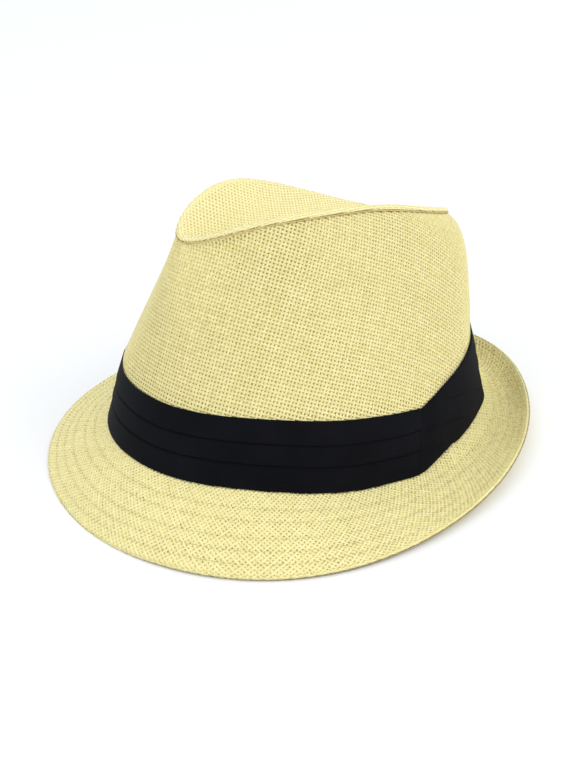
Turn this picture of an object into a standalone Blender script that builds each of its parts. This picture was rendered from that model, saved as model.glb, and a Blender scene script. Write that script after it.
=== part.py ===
"""Straw trilby with a black pleated band, resting on its brim.

Metres, +Z up, the hat's front is -Y and the wearer's left is +X. The origin is the middle of the hat's
outline on the surface it rests on. The shape is worked out in the hat's own frame in millimetres, with
the mean foot of the band at height 0, and is then tipped back until front and back of the brim
touch the surface together.

A "turn" is the angle round the hat: 0 at the front, 90 at the wearer's left, 180 at the back.
"""

import math

import bpy
import numpy as np

# ---------------------------------------------------------------- driving sizes, in millimetres
WALL = 1.6            # straw of the crown's side and tip
BRIM_THICK = 2.0      # the brim, two layers of straw stitched together
GAP = 0.3             # clearance between neighbouring pieces
BAND_STAND = 2.0      # from the crown's straw to the band's outer face at its foot
BAND_STAND_TOP = 1.2  # and at its upper edge
PLEAT_STEP = 0.5      # how far each pleat's lower fold stands proud of the pleat under it
WRAP_THICK = 0.7      # cloth wrapped over the band's join
LIP_HIGH = 3.2        # rolled edge of the tip above its seam
LIP_WIDE = 3.0
CONTACT = 0.35        # how much of the brim is worn flat where it touches
AROUND = 64           # facets round the hat
MM = 0.001

# The head opening, the band's two edges and the brim, by turn. The right half mirrors the left.
# foot = band's lower edge, top = band's upper edge, brim = straight distance from foot to brim edge,
# slope = rise of that line above level, cup = how far the brim sags under it
HEAD_COLUMNS = ("turn", "foot_x", "foot_y", "foot_z", "top_x", "top_y", "top_z", "brim", "slope", "cup")
HEAD = (
    (0, 0.0, -99.5, 0.7, 0.0, -91.0, 33.4, 40.2, -44.4, -1.5),
    (30, 41.7, -88.2, 1.0, 39.0, -80.8, 34.1, 41.1, -38.2, -1.0),
    (60, 72.7, -55.3, 0.0, 67.9, -51.0, 34.0, 45.1, -25.4, 0.0),
    (90, 84.8, -5.6, -5.1, 79.2, -5.5, 29.4, 40.9, -5.8, 2.0),
    (120, 74.1, 49.8, -2.9, 69.2, 45.6, 29.3, 33.4, 12.3, 4.5),
    (150, 43.1, 93.8, 4.1, 40.2, 86.6, 37.5, 21.6, 15.7, 6.5),
    (180, 0.0, 110.7, 13.0, 0.0, 102.4, 46.0, 18.6, 0.6, 7.0),
)

# The tip's seam, all the way round, because the two rims were dented by hand and differ.
# knee = where the side wall turns in towards the seam, measured out from and down from the seam
SEAM_COLUMNS = ("turn", "seam_x", "seam_y", "seam_z", "knee_out", "knee_down")
SEAM = (
    (0, 0.0, -67.3, 104.7, 2.5, 6.0),
    (30, 16.8, -52.1, 108.7, 2.0, 6.0),
    (60, 28.7, -22.3, 114.3, 3.5, 6.0),
    (90, 32.5, 7.3, 114.8, 6.0, 6.0),
    (120, 28.1, 42.6, 109.6, 9.0, 6.0),
    (150, 16.5, 78.6, 99.9, 11.0, 6.5),
    (180, 0.0, 94.2, 93.1, 10.0, 6.5),
    (210, -16.5, 78.6, 91.0, 9.0, 6.0),
    (240, -28.1, 42.6, 99.8, 7.0, 6.0),
    (270, -32.5, 7.3, 111.7, 5.0, 6.0),
    (300, -28.7, -22.3, 118.3, 3.5, 6.0),
    (330, -16.8, -52.1, 113.7, 2.5, 6.0),
)

# Folds pressed into the side wall. height runs from 0 at the band to 1 at the seam.
FOLD_COLUMNS = ("name", "turn", "height", "depth", "half_turn", "half_height")
FOLDS = (
    ("pinch_left", 30.0, 0.72, 3.5, 17.0, 0.30),
    ("pinch_right", -36.0, 0.72, 2.5, 17.0, 0.30),
    ("side_left", 72.0, 0.45, -1.5, 26.0, 0.30),
    ("side_right", -62.0, 0.40, -1.8, 32.0, 0.40),
    ("back_full", 165.0, 0.40, -1.6, 45.0, 0.40),
)

# The valley of the dented tip, from front to back
VALLEY_COLUMNS = ("y", "z")
VALLEY = ((-42.0, 101.0), (-12.0, 101.5), (18.0, 99.0), (48.0, 92.5), (72.0, 87.5))

# The three pleats of the band, as fractions of its height from its lower edge
PLEATS = (0.0, 0.37, 0.67, 1.0)

# How far the lower and upper edges of the band and its wrap stand above an even ring
EDGE_COLUMNS = ("turn", "lift_low", "lift_high")
EDGES = (
    (-180.0, 0.0, 0.0),
    (-85.0, 0.0, 0.0),
    (-60.0, 0.0, -1.3),
    (-40.0, 0.0, -2.0),
    (-25.0, 0.0, -1.9),
    (5.0, 0.0, -1.1),
    (50.0, 0.0, -0.3),
    (84.0, 0.0, -0.4),
    (96.0, 0.0, -1.3),
    (102.0, 0.0, -2.3),
    (107.5, 0.2, -3.7),
    (112.0, 1.2, -1.2),
    (118.0, 2.8, 1.3),
    (121.5, 1.9, 2.0),
    (125.0, 2.2, 2.4),
    (138.0, 1.9, 2.6),
    (150.0, 0.0, 0.9),
    (156.0, 0.0, 0.0),
    (180.0, 0.0, 0.0),
)

# Where the wrap over the band's join starts, at its lower and upper edge, and where it ends
WRAP_START_LOW, WRAP_START_HIGH, WRAP_END = 101.5, 107.5, 150.0


# ---------------------------------------------------------------- curves through the tables
def column(rows, columns, name):
    return np.array([row[columns.index(name)] for row in rows], float)


def around_half(values, turn, odd):
    """Smooth closed curve through values every 30 degrees from 0 to 180, mirrored (or negated)."""
    sign = -1.0 if odd else 1.0
    full = np.concatenate([values, sign * values[-2:0:-1]])
    return around_full(full, turn)


def around_full(values, turn):
    """Smooth closed curve through equally spaced values: their trigonometric interpolation."""
    count = len(values)
    waves = np.fft.rfft(values) / count
    out = np.full_like(turn, waves[0].real)
    for k in range(1, len(waves)):
        scale = 1.0 if 2 * k == count else 2.0
        out = out + scale * (waves[k].real * np.cos(k * turn) - waves[k].imag * np.sin(k * turn))
    return out


def smooth(x):
    x = np.clip(x, 0.0, 1.0)
    return x * x * (3.0 - 2.0 * x)


def head(turn, name):
    odd = name in ("foot_x", "top_x")
    return around_half(column(HEAD, HEAD_COLUMNS, name), turn, odd)


def seam(turn, name):
    return around_full(column(SEAM, SEAM_COLUMNS, name), turn)


def foot(turn):
    return np.stack([head(turn, "foot_x"), head(turn, "foot_y"), head(turn, "foot_z")], -1)


def top(turn):
    return np.stack([head(turn, "top_x"), head(turn, "top_y"), head(turn, "top_z")], -1)


def seam_line(turn):
    return np.stack([seam(turn, "seam_x"), seam(turn, "seam_y"), seam(turn, "seam_z")], -1)


def plan_normal(curve, turn):
    """Unit vector pointing out of the curve in plan."""
    step = 1e-4
    along = curve(turn + step) - curve(turn - step)
    out = np.stack([-along[..., 1], along[..., 0], np.zeros_like(turn)], -1)
    out /= np.linalg.norm(out, axis=-1, keepdims=True)
    return -out if np.sum(out * curve(turn)) < 0 else out


UP = np.array([0.0, 0.0, 1.0])


def crown_point(turn, height):
    """Outer face of the side wall; height 0 is level with the band's upper edge and 1 is the seam."""
    n_foot = plan_normal(foot, turn)
    n_seam = plan_normal(seam_line, turn)
    start = top(turn) - n_foot * BAND_STAND_TOP
    end = seam_line(turn)
    knee = end + n_seam * seam(turn, "knee_out")[..., None] - UP * seam(turn, "knee_down")[..., None]
    low = start + (knee - start) * 0.72
    high = end + (knee - end) * 0.80
    h = height[..., None]
    point = start * (1 - h) ** 3 + 3 * low * h * (1 - h) ** 2 + 3 * high * h * h * (1 - h) + end * h ** 3
    for name, at, level, depth, half_turn, half_height in FOLDS:
        away = (np.degrees(turn) - at + 180.0) % 360.0 - 180.0
        press = depth * np.exp(-((away / half_turn) ** 2) - ((height - level) / half_height) ** 2)
        press = press * smooth(height / 0.12) * smooth((1.0 - height) / 0.12)
        point = point - n_foot * press[..., None]
    return point


def brim_point(turn, out):
    """Upper face of the brim; out 0 is under the band's lower edge and 1 is the brim's edge."""
    n = plan_normal(foot, turn)
    reach = head(turn, "brim")[..., None]
    slope = np.radians(head(turn, "slope"))[..., None]
    across = n * np.cos(slope) + UP * np.sin(slope)
    square = UP * np.cos(slope) - n * np.sin(slope)
    o = out[..., None]
    sag = head(turn, "cup")[..., None] * 4.0 * o * (1.0 - o)
    return foot(turn) - UP * 0.6 + across * reach * o - square * sag


def tip_point(turn, inward):
    """Upper face of the tip inside its rolled edge; inward 0 is the roll and 1 is the valley."""
    n = plan_normal(seam_line, turn)
    rim = seam_line(turn) - n * LIP_WIDE + UP * (LIP_HIGH - 0.6)
    y_seam = seam(turn, "seam_y")
    span = column(SEAM, SEAM_COLUMNS, "seam_y")
    valley_y = column(VALLEY, VALLEY_COLUMNS, "y")
    share = (y_seam - span.min()) / (span.max() - span.min())
    y_mid = valley_y[0] + np.clip(share, 0, 1) * (valley_y[-1] - valley_y[0])
    z_mid = np.interp(y_mid, valley_y, column(VALLEY, VALLEY_COLUMNS, "z"))
    valley = np.stack([np.zeros_like(turn), y_mid, z_mid], -1)
    i = inward[..., None]
    point = rim + (valley - rim) * i
    point[..., 2] = valley[..., 2] + (rim[..., 2] - valley[..., 2]) * (1.0 - inward) ** 1.7
    return point


# ---------------------------------------------------------------- grids and closed meshes
TURN = np.arange(AROUND) * 2.0 * math.pi / AROUND


def rows_of(function, levels):
    return np.stack([function(TURN, np.full(AROUND, float(v))) for v in levels])


def grid_normals(grid):
    """Unit normals of a grid whose second index runs round the hat; they point out or up."""
    along = np.roll(grid, -1, 1) - np.roll(grid, 1, 1)
    across = np.gradient(grid, axis=0)
    n = np.cross(along, across)
    return n / np.linalg.norm(n, axis=-1, keepdims=True)


def volume(points, faces):
    total = 0.0
    for face in faces:
        a = points[face[0]]
        for j in range(1, len(face) - 1):
            total += np.dot(a, np.cross(points[face[j]], points[face[j + 1]]))
    return total / 6.0


def closed_rings(rings):
    """Faces of a tube-like body: each ring joins the next, and the last joins the first."""
    count, around = len(rings), len(rings[0])
    points = np.concatenate(rings)
    faces = []
    for j in range(count):
        k = (j + 1) % count
        for i in range(around):
            m = (i + 1) % around
            faces.append((j * around + i, j * around + m, k * around + m, k * around + i))
    return points, faces


def capped_rings(rings):
    """Faces of a lid-like body: the first and last rings are closed across, left to right."""
    count, around = len(rings), len(rings[0])
    points = np.concatenate(rings)
    faces = []
    for j in range(count - 1):
        for i in range(around):
            m = (i + 1) % around
            faces.append((j * around + i, j * around + m, (j + 1) * around + m, (j + 1) * around + i))
    for base, turned in ((0, True), ((count - 1) * around, False)):
        for i in range(around // 2):
            a, b = base + i, base + i + 1
            c, d = base + (around - i - 1) % around, base + (around - i) % around
            face = [a, b] + ([c] if c != b else []) + ([d] if d != a else [])
            faces.append(tuple(reversed(face)) if turned else tuple(face))
    return points, faces


def open_strip(columns):
    """Faces of a strip-like body: each column is a closed outline of outer then inner points."""
    count, ring = len(columns), len(columns[0])
    points = np.concatenate(columns)
    faces = []
    for j in range(count - 1):
        for i in range(ring):
            m = (i + 1) % ring
            faces.append((j * ring + i, j * ring + m, (j + 1) * ring + m, (j + 1) * ring + i))
    half = ring // 2
    for base, turned in ((0, False), ((count - 1) * ring, True)):
        for i in range(half - 1):
            face = (base + i, base + ring - 1 - i, base + ring - 2 - i, base + i + 1)
            faces.append(tuple(reversed(face)) if turned else face)
    return points, faces


# ---------------------------------------------------------------- the pieces, in the hat's own frame
def make_brim():
    n = plan_normal(foot, TURN)
    outs = [0.0, 0.1, 0.22, 0.36, 0.5, 0.64, 0.78, 0.9, 0.965, 1.0]
    upper = rows_of(brim_point, outs)
    normal = grid_normals(upper)
    normal = np.where(normal[..., 2:3] < 0, -normal, normal)
    lower = upper - normal * BRIM_THICK
    inner_up = upper[0] - n * (BAND_STAND + WALL)
    inner_low = inner_up - UP * BRIM_THICK
    # the hem: its upper corner, a slightly proud middle, and a lower corner cut off square to the floor
    edge = (upper[-1] + lower[-1]) / 2 + n * 0.5
    corner_out = lower[-1] + (upper[-1] - lower[-1]) * 0.32
    corner_in = lower[-1] + (lower[-2] - lower[-1]) * 0.5
    keep = [7, 5, 3, 1]
    rings = [inner_up] + list(upper) + [edge, corner_out, corner_in] + [lower[k] for k in keep] + [inner_low]
    return closed_rings(rings)


def make_crown_side():
    n = plan_normal(foot, TURN)
    levels = [0.0, 0.14, 0.28, 0.42, 0.55, 0.67, 0.78, 0.87, 0.94, 1.0]
    wall = rows_of(crown_point, levels)
    base = foot(TURN) - n * BAND_STAND
    base = base + UP * (GAP - 0.6)
    middle = (base + wall[0]) / 2
    outer = np.stack([base, middle] + list(wall))
    normal = grid_normals(outer)
    out_sign = np.sign(np.sum(normal * n[None], -1, keepdims=True))
    inner = outer - normal * out_sign * WALL
    inner[0] = base - n * WALL
    inner[1] = middle - n * WALL
    # the top edge lies level, so that the tip sits on it
    n_seam = plan_normal(seam_line, TURN)
    inner[-1] = outer[-1] - n_seam * WALL
    inner[-2] = outer[-2] - n_seam * WALL * 0.9 - UP * 0.5
    keep = [11, 10, 9, 8, 6, 4, 2, 1, 0]
    return closed_rings(list(outer) + [inner[k] for k in keep])


def make_crown_tip():
    n = plan_normal(seam_line, TURN)
    s = seam_line(TURN) + UP * GAP
    roll = [s, s + n * 0.7 + UP * 0.9, s + n * 0.5 + UP * 2.0, s - n * 0.7 + UP * (LIP_HIGH - 0.4)]
    dish = rows_of(tip_point, [0.0, 0.14, 0.32, 0.52, 0.72, 0.9])
    under_edge = s - n * WALL
    under = dish[[1, 3, 5]] - UP * WALL
    rings = list(dish[::-1]) + roll[::-1] + [under_edge, under_edge - n * 2.2 + UP * 0.2] + list(under)
    return capped_rings(rings)


def edge_lift(turn, name):
    degrees = (np.degrees(turn) + 180.0) % 360.0 - 180.0
    return np.interp(degrees, column(EDGES, EDGE_COLUMNS, "turn"), column(EDGES, EDGE_COLUMNS, name))


def band_edges(turn, wrap):
    """Lower and upper edge of the cloth. Under the wrap the band is drawn in, out of sight."""
    low, high = foot(turn), top(turn)
    degrees = np.degrees(turn) % 360.0
    rise = high - low
    rise = rise / np.linalg.norm(rise, axis=-1, keepdims=True)
    low = low + rise * edge_lift(turn, "lift_low")[..., None]
    high = high + rise * edge_lift(turn, "lift_high")[..., None]
    if not wrap:
        end = smooth((WRAP_END - degrees) / 5.0)
        low = low + rise * (0.9 * smooth((degrees - WRAP_START_LOW) / 5.0) * end)[..., None]
        high = high - rise * (0.9 * smooth((degrees - WRAP_START_HIGH) / 5.0) * end)[..., None]
    return low, high


def pleated(turn_at, wrap):
    """Outline of the cloth: its outer face with three pleats, then its inner face. turn_at gives the turns of a row."""
    rows = []
    for a, b in zip(PLEATS[:-1], PLEATS[1:]):
        for share, proud in ((0.0, PLEAT_STEP), (0.5, PLEAT_STEP * 0.6), (1.0, 0.0)):
            v = a + (b - a) * share + (0.012 if share == 0.0 and a > 0 else 0.0)
            rows.append((v, proud))
    outer, inner = [], []
    for v, proud in rows:
        turn = turn_at(v)
        low, high = band_edges(turn, wrap)
        n = plan_normal(foot, turn)
        face = low + (high - low) * v
        stand = BAND_STAND + (BAND_STAND_TOP - BAND_STAND) * v
        if wrap:
            outer.append(face + n * (GAP + PLEAT_STEP + WRAP_THICK + proud))
            inner.append(face + n * (GAP + PLEAT_STEP * 0.2))
        else:
            outer.append(face + n * (proud - PLEAT_STEP))
            inner.append(face - n * (stand - GAP))
    return np.stack(outer + inner[::-1])


def make_hat_band():
    return closed_rings(list(pleated(lambda v: TURN, False)))


def wrap_turns(v):
    start = WRAP_START_LOW + (WRAP_START_HIGH - WRAP_START_LOW) * v
    return np.radians(np.linspace(start, WRAP_END, 14))


def make_band_wrap():
    outline = pleated(wrap_turns, True)
    return open_strip([outline[:, j] for j in range(outline.shape[1])])


PIECES = (
    # node, maker, colour (linear), roughness
    ("brim", make_brim, (0.79, 0.70, 0.33), 0.75),
    ("crown_side", make_crown_side, (0.77, 0.68, 0.33), 0.75),
    ("crown_tip", make_crown_tip, (0.86, 0.78, 0.40), 0.75),
    ("hat_band", make_hat_band, (0.010, 0.010, 0.014), 0.85),
    ("band_wrap", make_band_wrap, (0.010, 0.010, 0.014), 0.85),
)


# ---------------------------------------------------------------- from the hat's frame to where it rests
def tipped(points, tilt):
    c, s = math.cos(tilt), math.sin(tilt)
    x, y, z = points[:, 0], points[:, 1], points[:, 2]
    return np.stack([x, y * c + z * s, z * c - y * s], -1)


def rest_tilt(points):
    """Tilt at which the lowest points of the front half and the back half are level."""
    front, back = points[points[:, 1] < -20.0], points[points[:, 1] > 20.0]
    low, high = 0.0, math.radians(15.0)
    for _ in range(60):
        middle = (low + high) / 2
        if tipped(front, middle)[:, 2].min() < tipped(back, middle)[:, 2].min():
            low = middle
        else:
            high = middle
    return (low + high) / 2


def build_object(name, points, faces, colour, roughness):
    if volume(points, faces) < 0:
        faces = [tuple(reversed(face)) for face in faces]
    mesh = bpy.data.meshes.new(name)
    mesh.from_pydata([tuple(p) for p in points * MM], [], faces)
    mesh.validate()
    mesh.update()
    mesh.shade_smooth()
    mesh.set_sharp_from_angle(angle=math.radians(40.0))
    material = bpy.data.materials.new(name)
    material.use_nodes = True
    shader = material.node_tree.nodes["Principled BSDF"]
    shader.inputs["Base Color"].default_value = (*colour, 1.0)
    shader.inputs["Roughness"].default_value = roughness
    shader.inputs["Metallic"].default_value = 0.0
    material.diffuse_color = (*colour, 1.0)
    mesh.materials.append(material)
    piece = bpy.data.objects.new(name, mesh)
    bpy.context.collection.objects.link(piece)
    return piece


def main():
    for old in list(bpy.data.objects):
        bpy.data.objects.remove(old, do_unlink=True)
    shapes = {name: maker() for name, maker, _, _ in PIECES}
    brim_points = shapes["brim"][0]
    tilt = rest_tilt(brim_points)
    brim_at_rest = tipped(brim_points, tilt)
    floor = brim_at_rest[:, 2].min() + CONTACT
    middle_y = (brim_at_rest[:, 1].min() + brim_at_rest[:, 1].max()) / 2
    shift = np.array([0.0, -middle_y, -floor])
    for name, _, colour, roughness in PIECES:
        points, faces = shapes[name]
        points = tipped(points, tilt) + shift
        points[:, 2] = np.maximum(points[:, 2], 0.0)
        build_object(name, points, faces, colour, roughness)
    return tilt, shift


REST = main()
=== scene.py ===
"""Straw trilby with a black pleated band, on a plain pale floor.

The woven straw is built thread by thread over each panel's own flat pattern: rows and columns on the crown's
side and the tip, and two bias directions on the brim. Sizes are in millimetres in the hat's own frame until
placed() tips the hat back onto its brim and turns them into metres.
"""

import math

import bpy
import numpy as np
from mathutils import Matrix


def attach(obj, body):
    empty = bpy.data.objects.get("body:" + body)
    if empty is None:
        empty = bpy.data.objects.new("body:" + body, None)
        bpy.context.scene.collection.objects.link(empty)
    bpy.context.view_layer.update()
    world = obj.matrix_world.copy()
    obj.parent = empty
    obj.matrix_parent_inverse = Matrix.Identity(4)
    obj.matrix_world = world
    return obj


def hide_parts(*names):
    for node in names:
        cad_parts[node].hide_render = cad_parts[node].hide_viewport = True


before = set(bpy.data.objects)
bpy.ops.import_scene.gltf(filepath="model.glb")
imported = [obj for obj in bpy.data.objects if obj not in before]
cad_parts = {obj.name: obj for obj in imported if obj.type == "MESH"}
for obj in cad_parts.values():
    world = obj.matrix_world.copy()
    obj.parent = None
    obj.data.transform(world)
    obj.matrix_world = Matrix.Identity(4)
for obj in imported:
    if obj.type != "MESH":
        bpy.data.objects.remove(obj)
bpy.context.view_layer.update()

# ---------------------------------------------------------------- driving sizes, in millimetres
WALL = 1.6
BRIM_THICK = 2.0
GAP = 0.3
BAND_STAND, BAND_STAND_TOP = 2.0, 1.2
LIP_HIGH, LIP_WIDE = 3.2, 3.0
TILT = math.radians(6.542234456812511)
SHIFT = np.array([0.0, -0.28463305, 13.82875516])

ROW_PITCH, COLUMN_PITCH = 1.85, 1.75      # threads of the crown's side
TIP_PITCHES, BRIM_PITCH = (1.62, 1.90), 1.80     # threads of the tip, lengthwise and across, and of the brim
STITCH_ROWS = (0.173, 0.327, 0.525, 0.676, 0.823, 0.955)   # shares of the brim from foot to edge

HEAD_COLUMNS = ("turn", "foot_x", "foot_y", "foot_z", "top_x", "top_y", "top_z", "brim", "slope", "cup")
HEAD = (
    (0, 0.0, -99.5, 0.7, 0.0, -91.0, 33.4, 40.2, -44.4, -1.5),
    (30, 41.7, -88.2, 1.0, 39.0, -80.8, 34.1, 41.1, -38.2, -1.0),
    (60, 72.7, -55.3, 0.0, 67.9, -51.0, 34.0, 45.1, -25.4, 0.0),
    (90, 84.8, -5.6, -5.1, 79.2, -5.5, 29.4, 40.9, -5.8, 2.0),
    (120, 74.1, 49.8, -2.9, 69.2, 45.6, 29.3, 33.4, 12.3, 4.5),
    (150, 43.1, 93.8, 4.1, 40.2, 86.6, 37.5, 21.6, 15.7, 6.5),
    (180, 0.0, 110.7, 13.0, 0.0, 102.4, 46.0, 18.6, 0.6, 7.0),
)
SEAM_COLUMNS = ("turn", "seam_x", "seam_y", "seam_z", "knee_out", "knee_down")
SEAM = (
    (0, 0.0, -67.3, 104.7, 2.5, 6.0),
    (30, 16.8, -52.1, 108.7, 2.0, 6.0),
    (60, 28.7, -22.3, 114.3, 3.5, 6.0),
    (90, 32.5, 7.3, 114.8, 6.0, 6.0),
    (120, 28.1, 42.6, 109.6, 9.0, 6.0),
    (150, 16.5, 78.6, 99.9, 11.0, 6.5),
    (180, 0.0, 94.2, 93.1, 10.0, 6.5),
    (210, -16.5, 78.6, 91.0, 9.0, 6.0),
    (240, -28.1, 42.6, 99.8, 7.0, 6.0),
    (270, -32.5, 7.3, 111.7, 5.0, 6.0),
    (300, -28.7, -22.3, 118.3, 3.5, 6.0),
    (330, -16.8, -52.1, 113.7, 2.5, 6.0),
)
FOLD_COLUMNS = ("name", "turn", "height", "depth", "half_turn", "half_height")
FOLDS = (
    ("pinch_left", 30.0, 0.72, 3.5, 17.0, 0.30),
    ("pinch_right", -36.0, 0.72, 2.5, 17.0, 0.30),
    ("side_left", 72.0, 0.45, -1.5, 26.0, 0.30),
    ("side_right", -62.0, 0.40, -1.8, 32.0, 0.40),
    ("back_full", 165.0, 0.40, -1.6, 45.0, 0.40),
)
VALLEY_COLUMNS = ("y", "z")
VALLEY = ((-42.0, 101.0), (-12.0, 101.5), (18.0, 99.0), (48.0, 92.5), (72.0, 87.5))

# How far the ring round the crown has turned away from the cloth's straight grain, in degrees, for the
# rows and the columns of its side panel
GRAIN_COLUMNS = ("turn", "rows", "columns")
GRAIN = (
    (-184, -64.0, -64.0), (-90, -29.4, -27.0), (-60, -21.6, -16.1), (-35, -19.8, -11.5), (-15, -15.8, -7.0),
    (0, -3.3, 0.0), (15, 9.4, 7.0), (35, 13.6, 12.5), (60, 15.1, 17.3), (80, 16.0, 22.0), (100, 23.4, 28.0),
    (125, 37.1, 36.0), (150, 46.6, 46.0), (184, 66.0, 64.0),
)


# How far the tip's lengthwise threads lean from the hat's long axis along its length, and how much its
# cross threads slant
TIP_GRAIN_COLUMNS = ("y", "lean")
TIP_GRAIN = ((-90, -14.0), (-24, -12.0), (-9, -5.0), (6, 5.0), (18, 12.0), (120, 14.0))
TIP_SLANT = 0.42


# ---------------------------------------------------------------- curves through the tables
def column(rows, columns, name):
    return np.array([row[columns.index(name)] for row in rows], float)


def around_full(values, turn):
    count = len(values)
    waves = np.fft.rfft(values) / count
    out = np.full_like(turn, waves[0].real)
    for k in range(1, len(waves)):
        scale = 1.0 if 2 * k == count else 2.0
        out = out + scale * (waves[k].real * np.cos(k * turn) - waves[k].imag * np.sin(k * turn))
    return out


def head(turn, name):
    values = column(HEAD, HEAD_COLUMNS, name)
    sign = -1.0 if name in ("foot_x", "top_x") else 1.0
    return around_full(np.concatenate([values, sign * values[-2:0:-1]]), turn)


def seam(turn, name):
    return around_full(column(SEAM, SEAM_COLUMNS, name), turn)


def smooth(x):
    x = np.clip(x, 0.0, 1.0)
    return x * x * (3.0 - 2.0 * x)


def foot(turn):
    return np.stack([head(turn, "foot_x"), head(turn, "foot_y"), head(turn, "foot_z")], -1)


def top(turn):
    return np.stack([head(turn, "top_x"), head(turn, "top_y"), head(turn, "top_z")], -1)


def seam_line(turn):
    return np.stack([seam(turn, "seam_x"), seam(turn, "seam_y"), seam(turn, "seam_z")], -1)


def unit(v):
    return v / np.maximum(np.linalg.norm(v, axis=-1, keepdims=True), 1e-12)


def plan_normal(curve, turn):
    step = 1e-4
    along = curve(turn + step) - curve(turn - step)
    return unit(np.stack([along[..., 1], -along[..., 0], np.zeros_like(turn)], -1))


UP = np.array([0.0, 0.0, 1.0])


def crown_point(turn, height, folds=FOLDS):
    """Outer face of the side wall; height 0 is level with the band's upper edge and 1 is the seam."""
    n_foot = plan_normal(foot, turn)
    n_seam = plan_normal(seam_line, turn)
    start = top(turn) - n_foot * BAND_STAND_TOP
    end = seam_line(turn)
    knee = end + n_seam * seam(turn, "knee_out")[..., None] - UP * seam(turn, "knee_down")[..., None]
    low = start + (knee - start) * 0.72
    high = end + (knee - end) * 0.80
    h = height[..., None]
    point = start * (1 - h) ** 3 + 3 * low * h * (1 - h) ** 2 + 3 * high * h * h * (1 - h) + end * h ** 3
    for name, at, level, depth, half_turn, half_height in folds:
        away = (np.degrees(turn) - at + 180.0) % 360.0 - 180.0
        press = depth * np.exp(-((away / half_turn) ** 2) - ((height - level) / half_height) ** 2)
        press = press * smooth(height / 0.12) * smooth((1.0 - height) / 0.12)
        point = point - n_foot * press[..., None]
    return point


BAND_SHARE = 0.30     # of the wall's parameter, from its foot to the band's upper edge


def wall_point(turn, rise, folds=FOLDS):
    """Outer face of the whole side wall; rise 0 is at the brim, BAND_SHARE at the band's upper edge, 1 at the seam."""
    n = plan_normal(foot, turn)
    base = foot(turn) - n * BAND_STAND + UP * (GAP - 0.6)
    start = top(turn) - n * BAND_STAND_TOP
    low = np.clip(rise / BAND_SHARE, None, 1.0)[..., None]
    upper = crown_point(turn, np.clip((rise - BAND_SHARE) / (1 - BAND_SHARE), 0.0, None), folds)
    return np.where((rise < BAND_SHARE)[..., None], base + (start - base) * low, upper)


def brim_point(turn, out):
    """Upper face of the brim; out 0 is under the band's lower edge and 1 is the brim's edge."""
    n = plan_normal(foot, turn)
    reach = head(turn, "brim")[..., None]
    slope = np.radians(head(turn, "slope"))[..., None]
    across = n * np.cos(slope) + UP * np.sin(slope)
    square = UP * np.cos(slope) - n * np.sin(slope)
    o = out[..., None]
    sag = head(turn, "cup")[..., None] * 4.0 * o * (1.0 - o)
    swell = 0.85 * np.maximum(edge_lift(turn, "lift_low"), 0.0)[..., None] * smooth(1.0 - o / 0.28)
    return foot(turn) - UP * 0.6 + across * reach * o - square * sag + UP * swell


def tip_point(turn, inward):
    """Upper face of the tip inside its rolled edge; inward 0 is the roll and 1 is the valley."""
    n = plan_normal(seam_line, turn)
    rim = seam_line(turn) - n * LIP_WIDE + UP * (LIP_HIGH - 0.6)
    y_seam = seam(turn, "seam_y")
    span = column(SEAM, SEAM_COLUMNS, "seam_y")
    valley_y = column(VALLEY, VALLEY_COLUMNS, "y")
    share = (y_seam - span.min()) / (span.max() - span.min())
    y_mid = valley_y[0] + np.clip(share, 0, 1) * (valley_y[-1] - valley_y[0])
    z_mid = np.interp(y_mid, valley_y, column(VALLEY, VALLEY_COLUMNS, "z"))
    valley = np.stack([np.zeros_like(turn), y_mid, z_mid], -1)
    i = inward[..., None]
    point = rim + (valley - rim) * i
    point[..., 2] = valley[..., 2] + (rim[..., 2] - valley[..., 2]) * (1.0 - inward) ** 1.7
    return point


# ---------------------------------------------------------------- placing and building
def placed(points):
    """From the hat's own frame in millimetres to where it rests, in metres."""
    c, s = math.cos(TILT), math.sin(TILT)
    x, y, z = points[:, 0], points[:, 1], points[:, 2]
    out = np.stack([x, y * c + z * s, z * c - y * s], -1) + SHIFT
    out[:, 2] = np.maximum(out[:, 2], 0.02)
    return out * 0.001


def build(name, points, quads, material, uv=None, tone=None, smooth_shade=True):
    """A mesh object from points, quads, and if given a UV pair for each corner and a tone for each point."""
    mesh = bpy.data.meshes.new(name)
    quads = np.asarray(quads, np.int32)
    mesh.vertices.add(len(points))
    mesh.vertices.foreach_set("co", placed(points).astype(np.float32).ravel())
    mesh.loops.add(quads.size)
    mesh.loops.foreach_set("vertex_index", quads.ravel())
    mesh.polygons.add(len(quads))
    mesh.polygons.foreach_set("loop_start", np.arange(len(quads), dtype=np.int32) * quads.shape[1])
    mesh.update(calc_edges=True)
    if uv is not None:
        layer = mesh.uv_layers.new(name="yarn")
        layer.data.foreach_set("uv", np.asarray(uv, np.float32).ravel())
    if tone is not None:
        layer = mesh.attributes.new("tone", "FLOAT", "POINT")
        layer.data.foreach_set("value", np.asarray(tone, np.float32).ravel())
    if smooth_shade:
        mesh.shade_smooth()
    mesh.materials.append(material)
    mesh.validate()
    piece = bpy.data.objects.new(name, mesh)
    bpy.context.collection.objects.link(piece)
    return piece


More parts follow.
